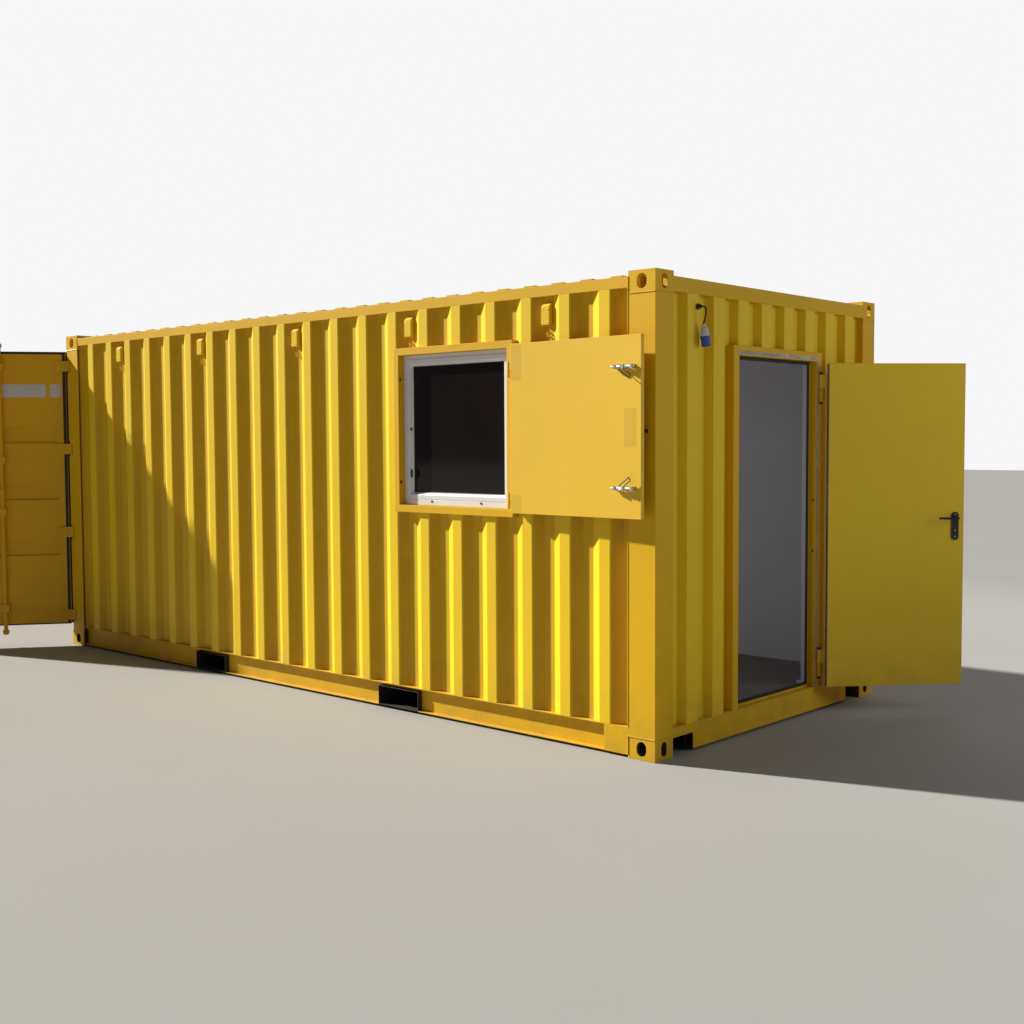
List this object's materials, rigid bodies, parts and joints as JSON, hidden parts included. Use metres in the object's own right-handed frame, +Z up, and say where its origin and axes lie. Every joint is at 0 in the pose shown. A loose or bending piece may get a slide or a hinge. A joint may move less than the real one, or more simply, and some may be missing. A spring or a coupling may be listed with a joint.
{
  "type": "shipping container cabin",
  "caption": "Steel shipping container turned into a cabin, with a hinged door at one end, a shuttered window in a long side and cargo doors at the other end.",
  "frame": {"origin": "on the ground in the middle of the footprint of the four bottom castings", "axes": "+X along the length towards the personnel door, -Y towards the window side, +Z up"},
  "size_m": [7.4663, 3.3787, 2.591],
  "materials": {
    "yellow_paint": "satin",
    "underframe_paint": "matte",
    "floor_ply": "matte",
    "wall_board": "matte",
    "ceiling_board": "matte",
    "white_plastic": "gloss",
    "pane": "gloss",
    "zinc": "satin",
    "black_rubber": "matte",
    "black_plastic": "matte",
    "plug_plastic": "matte"
  },
  "bodies": {
    "cabin": {"bottom_castings": "yellow_paint", "top_castings": "yellow_paint", "door_end_posts": "yellow_paint", "cargo_end_posts": "yellow_paint", "top_side_rails": "yellow_paint", "bottom_side_rails": "yellow_paint", "end_headers": "yellow_paint", "end_sills": "yellow_paint", "cross_members": "underframe_paint", "fork_pockets": "underframe_paint", "floor_boards": "floor_ply", "window_wall_left": "yellow_paint", "window_wall_right": "yellow_paint", "window_wall_above": "yellow_paint", "window_wall_below": "yellow_paint", "back_wall": "yellow_paint", "end_wall_left": "yellow_paint", "end_wall_right": "yellow_paint", "end_wall_above": "yellow_paint", "roof_panel": "yellow_paint", "window_side_lining": "wall_board", "back_side_lining": "wall_board", "end_lining": "wall_board", "ceiling_lining": "ceiling_board", "door_reveal": "ceiling_board", "window_surround": "yellow_paint", "window_frame": "white_plastic", "window_glass": "pane", "door_frame": "yellow_paint", "door_gasket": "black_rubber", "cargo_leaf_left": "yellow_paint", "cargo_rods_left": "yellow_paint", "cargo_gasket_left": "black_rubber", "wall_vents": "yellow_paint", "supply_gland": "black_plastic", "supply_cord": "black_rubber", "supply_plug": "plug_plastic"},
    "personnel_door": {"door_leaf": "yellow_paint", "door_lock": "black_plastic"},
    "door_handle": {"door_lever": "black_plastic"},
    "window_shutter": {"shutter_panel": "yellow_paint", "shutter_latches": "zinc"},
    "cargo_door": {"cargo_leaf_right": "yellow_paint", "cargo_rods_right": "yellow_paint", "cargo_gasket_right": "black_rubber"}
  },
  "joints": [
    {"name": "personnel_door_hinge", "type": "hinge", "parent": "cabin", "child": "personnel_door", "pos_m": [3.045, 0.49, 1.16], "axis": [0, 0, 1], "range_deg": [-138, 30]},
    {"name": "door_handle_turn", "type": "hinge", "parent": "personnel_door", "child": "door_handle", "pos_m": [3.63264, 1.0993, 1.208], "axis": [0.7431, -0.6691, 0], "range_deg": [0, 45], "stiffness_Nm_per_rad": 1.5, "springref_deg": -8.59},
    {"name": "window_shutter_hinge", "type": "hinge", "parent": "cabin", "child": "window_shutter", "pos_m": [2.03, -1.2565, 1.77], "axis": [0, 0, 1], "range_deg": [-178, 1.5]},
    {"name": "cargo_door_hinge", "type": "hinge", "parent": "cabin", "child": "cargo_door", "pos_m": [-3.005, -1.205, 1.31], "axis": [0, 0, 1], "range_deg": [-144, 116]}
  ]
}
